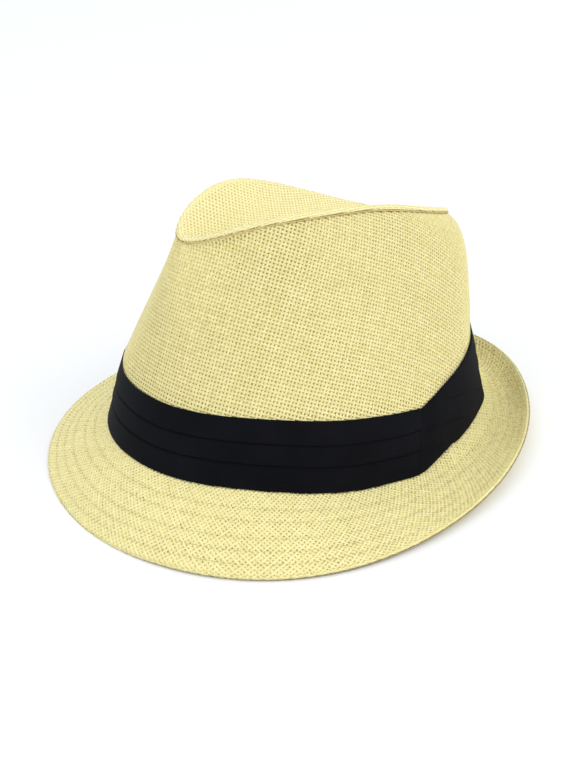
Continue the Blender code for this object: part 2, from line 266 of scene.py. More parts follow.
def tubes(name, lines, material, rng):
    """Threads as closed tubes of four sides. Each line is (centres, sides, normals, half_width, half_thick, tone, start_mm)."""
    points, quads, uvs, tones = [], [], [], []
    base = 0
    for centre, side, normal, half_w, half_t, tone, start in lines:
        n = len(centre)
        if n < 2:
            continue
        hw = np.broadcast_to(half_w, (n,))[:, None]
        ht = np.broadcast_to(half_t, (n,))[:, None]
        ring = np.stack([centre - side * hw, centre + normal * ht, centre + side * hw, centre - normal * ht], 1)
        points.append(ring.reshape(-1, 3))
        i = np.arange(n - 1)[:, None] * 4
        k = np.arange(4)[None]
        m = (k + 1) % 4
        q = np.stack([i + k, i + m, i + 4 + m, i + 4 + k], -1).reshape(-1, 4) + base
        along = start + np.concatenate([[0.0], np.cumsum(np.linalg.norm(np.diff(centre, axis=0), axis=1))])
        a0 = np.repeat(along[:-1], 4)
        a1 = np.repeat(along[1:], 4)
        v0 = np.tile(np.arange(4) / 4.0, n - 1)
        uv = np.stack([np.stack([a0, v0], -1), np.stack([a0, v0 + 0.25], -1), np.stack([a1, v0 + 0.25], -1), np.stack([a1, v0], -1)], 1)
        caps = np.array([[3, 2, 1, 0], [4 * n - 4, 4 * n - 3, 4 * n - 2, 4 * n - 1]]) + base
        cap_uv = np.array([[[along[0], 0.0]] * 4, [[along[-1], 0.0]] * 4])
        quads += [q, caps]
        uvs += [uv.reshape(-1, 4, 2), cap_uv]
        tones.append(np.repeat(np.broadcast_to(tone, (n,)), 4))
        base += 4 * n
    return build(name, np.concatenate(points), np.concatenate(quads), material, np.concatenate(uvs), np.concatenate(tones))


def shell(name, rings, material, closed=True, uv_of=None, folded=None):
    """A closed body from rings that each run round the hat; the last ring joins the first."""
    rings = np.stack(rings)
    count, around = rings.shape[:2]
    j, i = np.meshgrid(np.arange(count), np.arange(around), indexing="ij")
    k, m = (j + 1) % count, (i + 1) % around
    quads = np.stack([j * around + i, k * around + i, k * around + m, j * around + m], -1).reshape(-1, 4)
    points = rings.reshape(-1, 3)
    a, b, c, d = (points[quads[:, x]] for x in range(4))
    inside_out = (np.sum(a * np.cross(b, c)) + np.sum(a * np.cross(c, d))) < 0
    if inside_out:
        quads = quads[:, ::-1]
    length = np.concatenate([np.zeros((count, 1)), np.cumsum(np.linalg.norm(np.roll(rings, -1, 1) - rings, axis=2), axis=1)], 1)
    rise = np.concatenate([[0.0], np.cumsum(np.linalg.norm(np.diff(rings, axis=0), axis=2).mean(1))])
    rise = np.append(rise, rise[-1] + 1.0)
    u = {0: lambda jj, ii: length[jj % count, ii]}[0]
    corner_i = np.stack([i, i, i + 1, i + 1], -1).reshape(-1, 4)
    corner_j = np.stack([j, j + 1, j + 1, j], -1).reshape(-1, 4)
    uv = np.stack([u(corner_j, corner_i), rise[corner_j]], -1)
    if inside_out:
        uv = uv[:, ::-1]
    if folded is not None:
        # both halves of this ring run along one line, so they share its points and need no wall there
        weld = np.arange(count * around).reshape(count, around)
        line = weld[folded:folded + 2]
        weld[folded:folded + 2] = np.minimum(line, line[:, (-np.arange(around)) % around])
        stays = (j != folded).ravel()
        used, quads = np.unique(weld.ravel()[quads[stays]], return_inverse=True)
        points, quads, uv = points[used], quads.reshape(-1, 4), uv[stays]
    return build(name, points, quads, material, uv)


# ---------------------------------------------------------------- materials
def nodes_of(name):
    material = bpy.data.materials.new(name)
    material.use_nodes = True
    tree = material.node_tree
    return material, tree, tree.nodes, tree.links, tree.nodes["Principled BSDF"]


def link_bump(nodes, links, shader, height, strength, distance):
    bump = nodes.new("ShaderNodeBump")
    bump.inputs["Strength"].default_value = strength
    bump.inputs["Distance"].default_value = distance
    links.new(height, bump.inputs["Height"])
    links.new(bump.outputs["Normal"], shader.inputs["Normal"])


def straw_material(name, light, dark, sheen=0.25):
    """Twisted paper yarn: tone changes from thread to thread and along each, fine twist lines, soft gloss. On the brim
    the tone also holds painted shade along the stitch rows.
    """
    material, tree, nodes, links, shader = nodes_of(name)
    tone = nodes.new("ShaderNodeAttribute")
    tone.attribute_name = "tone"
    place = nodes.new("ShaderNodeTexCoord")
    patch = nodes.new("ShaderNodeTexNoise")
    patch.inputs["Scale"].default_value = 420.0
    patch.inputs["Detail"].default_value = 3.0
    links.new(place.outputs["Object"], patch.inputs["Vector"])
    add = nodes.new("ShaderNodeMath")
    add.operation = "MULTIPLY_ADD"
    add.inputs[1].default_value = 0.9
    links.new(patch.outputs["Fac"], add.inputs[0])
    links.new(tone.outputs["Fac"], add.inputs[2])
    ramp = nodes.new("ShaderNodeValToRGB")
    ramp.color_ramp.elements[0].position = 0.25
    ramp.color_ramp.elements[0].color = (*dark, 1.0)
    ramp.color_ramp.elements[1].position = 0.85
    ramp.color_ramp.elements[1].color = (*light, 1.0)
    links.new(add.outputs[0], ramp.inputs["Fac"])
    links.new(ramp.outputs["Color"], shader.inputs["Base Color"])
    yarn = nodes.new("ShaderNodeUVMap")
    yarn.uv_map = "yarn"
    twist = nodes.new("ShaderNodeTexWave")
    twist.wave_type = "BANDS"
    twist.bands_direction = "DIAGONAL"
    twist.inputs["Scale"].default_value = 0.9
    twist.inputs["Distortion"].default_value = 1.5
    twist.inputs["Detail"].default_value = 2.0
    links.new(yarn.outputs["UV"], twist.inputs["Vector"])
    link_bump(nodes, links, shader, twist.outputs["Fac"], 0.35, 0.00012)
    rough = nodes.new("ShaderNodeMapRange")
    rough.inputs["To Min"].default_value = 0.48
    rough.inputs["To Max"].default_value = 0.72
    links.new(patch.outputs["Fac"], rough.inputs["Value"])
    links.new(rough.outputs["Result"], shader.inputs["Roughness"])
    shader.inputs["Sheen Weight"].default_value = sheen
    shader.inputs["Sheen Roughness"].default_value = 0.4
    shader.inputs["Specular IOR Level"].default_value = 0.35
    return material


def backing_material(name, colour):
    """The cloth seen between the threads, in the colour it is given: dull, speckled paper fibre. A dark colour here is
    painted shade for the holes in the weave.
    """
    material, tree, nodes, links, shader = nodes_of(name)
    place = nodes.new("ShaderNodeTexCoord")
    fleck = nodes.new("ShaderNodeTexNoise")
    fleck.inputs["Scale"].default_value = 900.0
    fleck.inputs["Detail"].default_value = 2.0
    links.new(place.outputs["Object"], fleck.inputs["Vector"])
    ramp = nodes.new("ShaderNodeValToRGB")
    ramp.color_ramp.elements[0].position = 0.3
    ramp.color_ramp.elements[0].color = (colour[0] * 0.7, colour[1] * 0.66, colour[2] * 0.6, 1.0)
    ramp.color_ramp.elements[1].position = 0.7
    ramp.color_ramp.elements[1].color = (*colour, 1.0)
    links.new(fleck.outputs["Fac"], ramp.inputs["Fac"])
    links.new(ramp.outputs["Color"], shader.inputs["Base Color"])
    link_bump(nodes, links, shader, fleck.outputs["Fac"], 0.4, 0.0002)
    shader.inputs["Roughness"].default_value = 0.9
    shader.inputs["Specular IOR Level"].default_value = 0.2
    return material


def band_material(name, gloss=1.0):
    """Black twill: diagonal ribs and a faint cloudy sheen."""
    material, tree, nodes, links, shader = nodes_of(name)
    cloth = nodes.new("ShaderNodeUVMap")
    cloth.uv_map = "yarn"
    rib = nodes.new("ShaderNodeTexWave")
    rib.bands_direction = "DIAGONAL"
    rib.inputs["Scale"].default_value = 1.1
    rib.inputs["Distortion"].default_value = 0.6
    rib.inputs["Detail"].default_value = 2.0
    links.new(cloth.outputs["UV"], rib.inputs["Vector"])
    place = nodes.new("ShaderNodeTexCoord")
    cloud = nodes.new("ShaderNodeTexNoise")
    cloud.inputs["Scale"].default_value = 45.0
    cloud.inputs["Detail"].default_value = 4.0
    links.new(place.outputs["Object"], cloud.inputs["Vector"])
    ramp = nodes.new("ShaderNodeValToRGB")
    ramp.color_ramp.elements[0].position = 0.3
    ramp.color_ramp.elements[0].color = (0.0016, 0.0018, 0.0034, 1.0)
    ramp.color_ramp.elements[1].position = 0.75
    ramp.color_ramp.elements[1].color = (0.0036, 0.0038, 0.0064, 1.0)
    links.new(cloud.outputs["Fac"], ramp.inputs["Fac"])
    links.new(ramp.outputs["Color"], shader.inputs["Base Color"])
    link_bump(nodes, links, shader, rib.outputs["Fac"], 0.25, 0.0001)
    shader.inputs["Roughness"].default_value = 0.85
    shader.inputs["Specular IOR Level"].default_value = 0.10 * gloss
    shader.inputs["Sheen Weight"].default_value = 0.02 * gloss
    shader.inputs["Sheen Roughness"].default_value = 0.5
    return material


STRAW_LIGHT, STRAW_DARK = (0.90, 0.82, 0.42), (0.74, 0.645, 0.27)
crown_straw = straw_material("crown_straw", STRAW_LIGHT, STRAW_DARK)
brim_straw = straw_material("brim_straw", (0.95, 0.87, 0.44), (0.82, 0.725, 0.315))
tip_straw = straw_material("tip_straw", (0.925, 0.845, 0.45), (0.845, 0.75, 0.36))
# the crown's and the brim's backings are dark brown as painted shade: they fill the holes between the threads with the
# shade seen through them. The tip's backing is close to the straw's own colour.
crown_backing_painted_shade = backing_material("crown_backing_painted_shade", (0.27, 0.20, 0.065))
brim_backing_painted_shade = backing_material("brim_backing_painted_shade", (0.36, 0.285, 0.10))
tip_backing = backing_material("tip_backing", (0.84, 0.73, 0.35))
stitch_thread = straw_material("stitch_thread", (0.80, 0.71, 0.36), (0.62, 0.53, 0.22), 0.1)
# dark brown: partly the overcast thread's own colour, partly painted shadow for the dark line under the brim's edge
edge_thread_and_painted_shadow = straw_material("edge_thread_and_painted_shadow", (0.46, 0.34, 0.14), (0.32, 0.22, 0.09), 0.1)
# brown, darker than the straw: partly the seam thread's own colour, partly painted shade of the groove under the
# rolled edge
seam_thread_and_painted_shade = straw_material("seam_thread_and_painted_shade", (0.74, 0.61, 0.28), (0.58, 0.45, 0.18), 0.1)
band_cloth = band_material("band_cloth", 0.85)
# the wrap is the band's own cloth but gets less gloss, so that it reads darker: painted shade where it faces the lamps
# more
wrap_cloth = band_material("wrap_cloth", 0.78)

# ---------------------------------------------------------------- the crown's side
THREAD_LIFT = 0.27     # how far a thread's middle swings either side of the cloth's middle
HALF_THICK = 0.36
ROW_HALF, COLUMN_HALF = 0.775, 0.725


def tangent_frame(surface, u, v, du=1e-3, dv=1e-3):
    """Point and outward unit normal of a surface function at arrays u and v."""
    p = surface(u, v)
    a = surface(u + du, v) - surface(u - du, v)
    b = surface(u, v + dv) - surface(u, v - dv)
    return p, unit(np.cross(a, b))


def crown_grain():
    """Flat pattern of the side panel: fields that count columns (A) and rows (B), in millimetres, over turn and rise."""
    turns = np.radians(np.arange(-184.0, 184.5, 1.0))
    rises = np.linspace(0.0, 1.0, 71)
    t, g = np.meshgrid(turns, rises, indexing="ij")
    p = wall_point(t, g, ())
    ring, wall = np.gradient(p, axis=0), np.gradient(p, axis=1)
    ds, dl = np.linalg.norm(ring, axis=2), np.linalg.norm(wall, axis=2)
    ref = int(round((BAND_SHARE + 0.16 * (1 - BAND_SHARE)) * 70))
    length = np.cumsum((dl + np.roll(dl, 1, 1)) / 2, axis=1)
    length = length - length[:, ref:ref + 1]
    lean = np.pi / 2 - np.arcsin(((ring * wall).sum(2) / (ds * dl))[:, ref])
    middle = len(turns) // 2
    fields = []
    for name in ("columns", "rows"):
        theta = np.radians(np.interp(np.degrees(turns), column(GRAIN, GRAIN_COLUMNS, "turn"), column(GRAIN, GRAIN_COLUMNS, name)))
        theta = np.convolve(np.pad(theta, 6, mode="edge"), np.ones(13) / 13, "valid")
        a = np.cumsum(ds[:, ref] * np.cos(theta))
        b = np.cumsum(ds[:, ref] * np.sin(theta))
        a, b = a - a[middle], b - b[middle]
        fields.append((a[:, None] + length * np.cos(theta + lean)[:, None], b[:, None] + length * np.sin(theta + lean)[:, None]))
    return turns, rises, fields[0][0], fields[1][1]


def invert(turns, rises, a_field, b_field, a, b):
    """Grid places (as fractional indices) where the two fields take the values a and b, by Newton steps."""
    nt, nr = a_field.shape
    ci, cj = np.meshgrid(np.arange(0, nt, 4), np.arange(0, nr, 5), indexing="ij")
    ci, cj = ci.ravel(), cj.ravel()
    fa, fb = a_field[ci, cj], b_field[ci, cj]
    x = np.zeros((len(a), 2))
    for k in range(0, len(a), 2000):
        d = (a[k:k + 2000, None] - fa[None]) ** 2 + (b[k:k + 2000, None] - fb[None]) ** 2
        best = d.argmin(1)
        x[k:k + 2000, 0], x[k:k + 2000, 1] = ci[best], cj[best]
    for _ in range(12):
        i = np.clip(np.floor(x[:, 0]).astype(int), 0, nt - 2)
        j = np.clip(np.floor(x[:, 1]).astype(int), 0, nr - 2)
        u, v = x[:, 0] - i, x[:, 1] - j
        out = []
        for f in (a_field, b_field):
            f00, f10, f01, f11 = f[i, j], f[i + 1, j], f[i, j + 1], f[i + 1, j + 1]
            value = f00 * (1 - u) * (1 - v) + f10 * u * (1 - v) + f01 * (1 - u) * v + f11 * u * v
            out.append((value, (f10 - f00) * (1 - v) + (f11 - f01) * v, (f01 - f00) * (1 - u) + (f11 - f10) * u))
        ra, rb = a - out[0][0], b - out[1][0]
        det = out[0][1] * out[1][2] - out[0][2] * out[1][1]
        det = np.where(np.abs(det) < 1e-6, 1e-6, det)
        du = (ra * out[1][2] - rb * out[0][2]) / det
        dv = (out[0][1] * rb - out[1][1] * ra) / det
        step = np.clip(np.stack([du, dv], -1), -6, 6)
        x = np.clip(x + step, [-8, -8], [nt + 8, nr + 8])
    good = (np.abs(ra) < 0.3) & (np.abs(rb) < 0.3)
    return x, good


def wander(rng, n, size, reach):
    """A smooth random series, for a thread's slowly changing width or place."""
    raw = rng.normal(0.0, 1.0, n + 2 * reach)
    kernel = np.ones(2 * reach + 1) / (2 * reach + 1)
    return np.convolve(raw, kernel, "valid")[:n] * size * math.sqrt(2 * reach + 1)


def runs(inside):
    """Unbroken stretches of each row: its number, first place and last place."""
    for r in range(inside.shape[0]):
        flags = np.concatenate([[False], inside[r], [False]]).astype(int)
        change = np.diff(flags)
        for first, last in zip(np.nonzero(change == 1)[0], np.nonzero(change == -1)[0]):
            yield r, int(first), int(last) - 1


def invert_fine(x_field, y_field, fx, fy):
    """As invert, for a small pattern: the nearest of all its grid places, then Newton steps near it."""
    nt, nr = x_field.shape
    flat = np.stack([x_field.ravel(), y_field.ravel()], -1)
    start = np.zeros((len(fx), 2))
    for k in range(0, len(fx), 400):
        d = (fx[k:k + 400, None] - flat[None, :, 0]) ** 2 + (fy[k:k + 400, None] - flat[None, :, 1]) ** 2
        best = d.argmin(1)
        start[k:k + 400, 0], start[k:k + 400, 1] = best // nr, best % nr
    x = start + np.array([0.01, -0.01])
    error = None
    for _ in range(8):
        i = np.clip(np.floor(x[:, 0]).astype(int), 0, nt - 2)
        j = np.clip(np.floor(x[:, 1]).astype(int), 0, nr - 2)
        u, v = x[:, 0] - i, x[:, 1] - j
        parts = []
        for f in (x_field, y_field):
            f00, f10, f01, f11 = f[i, j], f[i + 1, j], f[i, j + 1], f[i + 1, j + 1]
            parts.append((f00 * (1 - u) * (1 - v) + f10 * u * (1 - v) + f01 * (1 - u) * v + f11 * u * v,
                          (f10 - f00) * (1 - v) + (f11 - f01) * v, (f01 - f00) * (1 - u) + (f11 - f10) * u))
        rx, ry = fx - parts[0][0], fy - parts[1][0]
        error = np.hypot(rx, ry)
        det = parts[0][1] * parts[1][2] - parts[0][2] * parts[1][1]
        det = np.where(np.abs(det) < 1e-5, 1e-5, det)
        step = np.stack([(rx * parts[1][2] - ry * parts[0][2]) / det, (parts[0][1] * ry - parts[1][1] * rx) / det], -1)
        x = x + np.clip(step, -2, 2)
        x = np.stack([np.clip(x[:, 0], start[:, 0] - 6, start[:, 0] + 6), np.clip(x[:, 1], -9, nr + 1)], -1)
    return x, error < 0.6


def crown_threads(rng):
    turns, rises, a_field, b_field = crown_grain()
    t_lo, t_hi = math.radians(-180.0), math.radians(180.0)
    ja = np.arange(math.floor(a_field.min() / COLUMN_PITCH), math.ceil(a_field.max() / COLUMN_PITCH) + 1)
    ib = np.arange(math.floor(b_field.min() / ROW_PITCH), math.ceil(b_field.max() / ROW_PITCH) + 1)
    bb, aa = np.meshgrid(ib, ja, indexing="ij")
    x, good = invert(turns, rises, a_field, b_field, aa.ravel() * COLUMN_PITCH, bb.ravel() * ROW_PITCH)
    t = turns[0] + x[:, 0] * (turns[1] - turns[0])
    g = x[:, 1] * (rises[1] - rises[0])
    t, g, good = t.reshape(bb.shape), g.reshape(bb.shape), good.reshape(bb.shape)
    inside = good & (t > t_lo) & (t < t_hi) & (g > 0.0) & (g < 1.0)
    parity = np.where((aa + bb) % 2 == 0, 1.0, -1.0)

    def clip_end(r, k, other, t2, g2, ok):
        """The place where the thread leaves the panel, between an inside and an outside lattice place."""
        if other < 0 or other >= ok.shape[1] or not ok[r, other]:
            return None
        t0, g0, t1, g1 = t2[r, k], g2[r, k], t2[r, other], g2[r, other]
        w = 1.0
        for lo, hi, a, b in ((t_lo, t_hi, t0, t1), (0.0, 1.0, g0, g1)):
            if b > hi and b != a:
                w = min(w, (hi - a) / (b - a))
            if b < lo and b != a:
                w = min(w, (lo - a) / (b - a))
        if w < 0.12:
            return None
        return t0 + (t1 - t0) * w, g0 + (g1 - g0) * w

    def family(t2, g2, in2, ok2, par2, half, name, which):
        spans = []
        for r, k, e in runs(in2):
            tt, gg, pp = list(t2[r, k:e + 1]), list(g2[r, k:e + 1]), list(par2[r, k:e + 1])
            a = clip_end(r, k, k - 1, t2, g2, ok2)
            b = clip_end(r, e, e + 1, t2, g2, ok2)
            if a:
                tt, gg, pp = [a[0]] + tt, [a[1]] + gg, [0.0] + pp
            if b:
                tt, gg, pp = tt + [b[0]], gg + [b[1]], pp + [0.0]
            spans.append((np.array(tt), np.array(gg), np.array(pp), r))
        all_t = np.concatenate([s[0] for s in spans])
        all_g = np.concatenate([s[1] for s in spans])
        gg = np.clip(all_g, 0.002, 0.998)
        p, n = tangent_frame(wall_point, all_t, gg)
        p = wall_point(all_t, all_g)
        lines, at = [], 0
        for tt, gg, pp, r in spans:
            m = len(tt)
            q, nn = p[at:at + m], n[at:at + m]
            at += m
            along = unit(np.gradient(q, axis=0))
            side = unit(np.cross(nn, along))
            width = half * (1.0 + 0.02 * rng.normal() + wander(rng, m, 0.035, 1))
            shift = wander(rng, m, 0.045, 2)
            centre = q - nn * 0.80 + nn * (pp * par_sign[which] * THREAD_LIFT)[:, None] + side * shift[:, None]
            tone = 0.04 * rng.normal() + wander(rng, m, 0.05, 2)
            lines.append((centre, side, nn, width, HALF_THICK, tone, rng.uniform(0, 50)))
        return tubes(name, lines, crown_straw, rng)

    par_sign = {"rows": 1.0, "columns": -1.0}
    rows = family(t, g, inside, good, parity, ROW_HALF, "crown_rows", "rows")
    columns = family(t.T, g.T, inside.T, good.T, parity.T, COLUMN_HALF, "crown_columns", "columns")
    return rows, columns


def crown_join(rng):
    """The side panel's join at the back: the upper ply's turned edge and a row of lock stitches on each side of it."""
    fine = np.linspace(BAND_SHARE - 0.02, 0.985, 400)
    middle = np.full(400, math.pi)
    speed = np.linalg.norm(wall_point(middle + 1e-3, fine) - wall_point(middle - 1e-3, fine), axis=1) / 2e-3
    lines = []
    for offset in (-0.6, -1.9, 1.9):
        turn = middle + offset / speed
        p, n = tangent_frame(wall_point, turn, np.clip(fine, 0.002, 0.998))
        along = unit(np.gradient(p, axis=0))
        side = unit(np.cross(n, along))
        length = np.concatenate([[0.0], np.cumsum(np.linalg.norm(np.diff(p, axis=0), axis=1))])
        if offset == -0.6:
            lines.append((p - n * 0.42, side, n, 0.85, 0.34, -0.05, 0.0))
            continue
        count = int(length[-1] / 3.0)
        for c in range(count):
            s = (c + np.array([0.12, 0.28, 0.5, 0.72, 0.88])) * length[-1] / count
            q = np.stack([np.interp(s, length, p[:, x]) for x in range(3)], -1)
            nn = unit(np.stack([np.interp(s, length, n[:, x]) for x in range(3)], -1))
            al = unit(np.gradient(q, axis=0))
            lines.append((q + nn * np.array([-0.75, -0.12, -0.02, -0.12, -0.75])[:, None], unit(np.cross(nn, al)), nn, 0.17, 0.17,
                          rng.normal(0, 0.1), c * 3.0))
    return tubes("crown_join", lines, stitch_thread, rng)


def crown_cloth():
    turn = np.arange(240) * 2 * math.pi / 240
    rises = np.concatenate([np.linspace(0.0, BAND_SHARE, 6), np.linspace(BAND_SHARE, 1.0, 40)[1:]])
    outer, inner = [], []
    for g in rises:
        gg = np.full(240, min(max(g, 0.002), 0.998))
        _, n = tangent_frame(wall_point, turn, gg)
        p = wall_point(turn, np.full(240, g))
        outer.append(p - n * 0.74)
        inner.append(p - n * 0.86)
    # its dark brown is painted shade, seen through the holes between the threads
    return shell("crown_cloth", outer + inner[::-1], crown_backing_painted_shade)


# ---------------------------------------------------------------- the brim
EDGE_ROUND = 0.9      # the fold at the brim's edge


def brim_surface(turn, far):
    """The folded cloth's own face: point and the normal of the side that shows."""
    half_fold = EDGE_ROUND * math.pi / 2
    reach = head(turn, "brim")
    flat = np.maximum(np.abs(far) - half_fold, 0.0)
    o = 1.0 - flat / reach
    p, n = tangent_frame(brim_point, turn, np.clip(o, -0.15, 0.9995))
    n = np.where(n[..., 2:3] < 0, -n, n)
    p = brim_point(turn, o)
    away = plan_normal(foot, turn)
    along = unit(away - n * (away * n).sum(-1, keepdims=True))
    angle = np.clip(far / half_fold, -1.0, 1.0) * math.pi / 2      # -90 on top, +90 underneath
    centre = p - n * (BRIM_THICK / 2)
    radius = EDGE_ROUND + 0.1
    point = centre - n * (np.sin(angle) * radius)[..., None] + along * (np.cos(angle) * (radius - 0.25))[..., None]
    normal = unit(-n * np.sin(angle)[..., None] + along * np.cos(angle)[..., None])
    return point, normal


def stitch_dent(turn, far):
    """How deep the stitching pulls the cloth in."""
    reach = head(turn, "brim")
    o = 1.0 - np.abs(far) / reach
    dent = np.zeros_like(far)
    for row in STITCH_ROWS:
        dent = dent + np.exp(-(((o - row) * reach) / 0.75) ** 2)
    return 0.30 * np.clip(dent, 0, 1)


def brim_threads(rng):
    fine = np.linspace(0.0, 2 * math.pi, 1441)
    reach = head(fine, "brim")
    ring = brim_point(fine, np.full_like(fine, 0.52))
    length = np.concatenate([[0.0], np.cumsum(np.linalg.norm(np.diff(ring, axis=0), axis=1))])
    total = length[-1]
    count = int(round(total / (math.sqrt(2) * BRIM_PITCH)))
    pitch = total / (math.sqrt(2) * count)
    step = pitch / math.sqrt(2)                      # how far out each crossing is from the last
    deepest = reach.max() + 3.0
    half = int(math.ceil(deepest / step)) + 1
    k = np.arange(-half, half + 1)                   # crossings counted from the fold
    pieces = []
    for sign, name in ((1.0, "brim_threads_right"), (-1.0, "brim_threads_left")):
        lines = []
        for a in range(count):
            s = (a * math.sqrt(2) * pitch + sign * k * step) % total
            turn = np.interp(s, length, fine)
            far = k * step
            limit = head(turn, "brim") + 3.4
            ok = np.abs(far) < limit
            idx = np.nonzero(ok)[0]
            if len(idx) < 3:
                continue
            tt, ff, kk = turn[idx], far[idx], k[idx]
            p, n = brim_surface(tt, ff)
            up = np.where((a + kk) % 2 == 0, 1.0, -1.0) * sign
            dent = stitch_dent(tt, ff)
            along = unit(np.gradient(p, axis=0))
            side = unit(np.cross(n, along))
            m = len(idx)
            share = 1.0 - np.abs(ff) / head(tt, "brim")
            thin = 1.0 - 0.34 * (rng.random(m) < 0.055)
            width = 0.87 * (1.0 + 0.18 * (share - 0.52)) * thin * (1.0 + 0.015 * rng.normal() + wander(rng, m, 0.085, 1))
            shift = wander(rng, m, 0.07, 1)
            swing = 0.19 * (0.35 + 0.65 * smooth(np.abs(ff) / 6.0))
            centre = p - n * 0.50 + n * (up * swing - dent)[:, None] + side * shift[:, None]
            # the threads are darker where the stitching dents the cloth: painted shade in the stitched grooves
            tone = 0.02 + 0.035 * rng.normal() + wander(rng, m, 0.06, 2) - 0.33 * dent
            lines.append((centre, side, n, width, 0.33, tone, rng.uniform(0, 50)))
        pieces.append(tubes(name, lines, brim_straw, rng))
    return pieces


def brim_cloth():
    around = 300
    turn = np.arange(around) * 2 * math.pi / around
    n_foot = plan_normal(foot, turn)
    outs = np.linspace(-3.4, 0.0, 3)
    upper, lower = [], []
    for o in np.concatenate([[-0.08], np.linspace(0.0, 0.985, 30)]):
        oo = np.full(around, o)
        p, n = tangent_frame(brim_point, turn, np.clip(oo, 0.001, 0.98))
        n = np.where(n[..., 2:3] < 0, -n, n)
        p = brim_point(turn, oo)
        dent = stitch_dent(turn, (1.0 - oo) * head(turn, "brim"))[:, None]
        upper.append(p - n * (0.66 + dent))
        lower.append(p - n * (BRIM_THICK - 0.66 - dent))
    # its dark brown is painted shade, seen through the holes between the threads
    return shell("brim_cloth", upper + lower[::-1], brim_backing_painted_shade)


def brim_stitches(rng):
    """Lock stitches, each a short thread that dips into the cloth at both ends."""
    lines = []
    for row in STITCH_ROWS:
        fine = np.linspace(0.0, 2 * math.pi, 2881)
        ring = brim_point(fine, np.full_like(fine, row))
        length = np.concatenate([[0.0], np.cumsum(np.linalg.norm(np.diff(ring, axis=0), axis=1))])
        count = int(length[-1] / 3.0)
        pitch = length[-1] / count
        for side_sign in (1.0, -1.0):
            start = rng.uniform(0, pitch)
            for c in range(count):
                s = (start + c * pitch + np.array([0.15, 0.28, 0.5, 0.72, 0.85]) * pitch) % length[-1]
                turn = np.interp(s, length, fine)
                far = -(1.0 - row) * head(turn, "brim") * side_sign
                p, n = brim_surface(turn, far)
                along = unit(np.gradient(p, axis=0))
                side = unit(np.cross(n, along))
                drop = np.array([-0.75, -0.22, -0.10, -0.22, -0.75]) - 0.12
                wobble = rng.normal(0, 0.05)
                centre = p + n * drop[:, None] + side * wobble
                lines.append((centre, side, n, 0.17, 0.17, rng.normal(0, 0.1), c * 3.0))
    return tubes("brim_stitches", lines, stitch_thread, rng)


def edge_stitches_and_painted_shadow(rng):
    """Overcast stitches along the underside of the brim's fold, and the cord they hold. Their dark brown is partly the
    thread's own colour and partly painted shadow: the dark line of shade under the brim's edge.
    """
    fine = np.linspace(0.0, 2 * math.pi, 1081)
    p, n = brim_surface(fine, np.full_like(fine, 1.25))
    length = np.concatenate([[0.0], np.cumsum(np.linalg.norm(np.diff(p, axis=0), axis=1))])
    side = unit(np.cross(n, unit(np.gradient(p, axis=0))))
    # the cord under the fold stands in for shade: painted shadow as a dark line along the brim's edge
    lines = [(p + n * 0.06, side, n, 0.26, 0.24, 0.0, 0.0)]
    count = int(length[-1] / 2.2)
    for c in range(count):
        s = ((c + rng.normal(0, 0.05)) * length[-1] / count + np.array([0.0, 0.5, 1.0])) % length[-1]
        turn = np.interp(s, length, fine)
        q, nn = brim_surface(turn, np.array([0.75, 1.2, 1.7]))
        sd = unit(np.cross(nn, unit(np.gradient(q, axis=0))))
        lines.append((q + nn * np.array([-0.10, 0.30, -0.10])[:, None], sd, nn, 0.14, 0.14, rng.normal(0, 0.1), c * 2.0))
    return tubes("edge_stitches_and_painted_shadow", lines, edge_thread_and_painted_shadow, rng)


# ---------------------------------------------------------------- the tip
def tip_section(turn):
    """Points from the seam up over the roll and in to the valley, for each turn: the tip's upper face."""
    n = plan_normal(seam_line, turn)
    s = seam_line(turn) + UP * 0.12
    roll = [s, s + n * 0.20 + UP * 0.45, s + n * 0.30 + UP * 0.95, s + n * 0.28 + UP * 1.45, s + n * 0.08 + UP * 2.0,
            s - n * 0.30 + UP * 2.5, s - n * 0.7 + UP * (LIP_HIGH - 0.4), s - n * 1.7 + UP * (LIP_HIGH - 0.32)]
    dish = [tip_point(turn, np.full_like(turn, v)) for v in (0.02, 0.07, 0.14, 0.22, 0.32, 0.42, 0.52, 0.62, 0.72, 0.82, 0.9, 0.96, 1.0)]
    return np.stack(roll + dish)


TIP_SPREAD = 1.12     # the dish's sides slope, so the cloth is this much wider than its outline in plan


def tip_pattern():
    """The tip's cloth laid flat: fields of flat x and y over turn and place on the section, and its face there."""
    turns = np.radians(np.arange(-3.0, 363.5, 1.0))
    section = tip_section(turns)                                   # from the seam over the roll to the valley
    fine = []
    for k in range(len(section) - 1):
        steps = 2 if k < 8 else 4
        for x in range(steps):
            fine.append(section[k] + (section[k + 1] - section[k]) * x / steps)
    fine.append(section[-1])
    section = np.stack(fine, 1)                                    # turn, place, xyz
    crest = 14
    step = np.linalg.norm(np.diff(section[:, :crest + 1], axis=1), axis=2)
    run = np.concatenate([np.cumsum(step[:, ::-1], axis=1)[:, ::-1], np.zeros((len(turns), 1))], 1)
    n = plan_normal(seam_line, turns)
    flat = section[..., :2] * np.array([TIP_SPREAD, 1.0])
    flat[:, :crest + 1] = flat[:, crest][:, None] + n[:, None, :2] * run[..., None]
    across, along = np.gradient(section, axis=1), np.gradient(section, axis=0)
    normal = unit(np.cross(along, across))
    normal = normal * np.sign(normal[:, -8, 2].mean())
    normal[:, -1] = UP
    fine_y = np.linspace(-90.0, 120.0, 421)
    lean = np.tan(np.radians(np.interp(fine_y, column(TIP_GRAIN, TIP_GRAIN_COLUMNS, "y"), column(TIP_GRAIN, TIP_GRAIN_COLUMNS, "lean"))))
    drift = np.cumsum(lean) * (fine_y[1] - fine_y[0])
    lengthwise = flat[..., 0] + np.interp(flat[..., 1], fine_y, drift)
    crosswise = flat[..., 1] + TIP_SLANT * flat[..., 0]
    return lengthwise, crosswise, section, normal


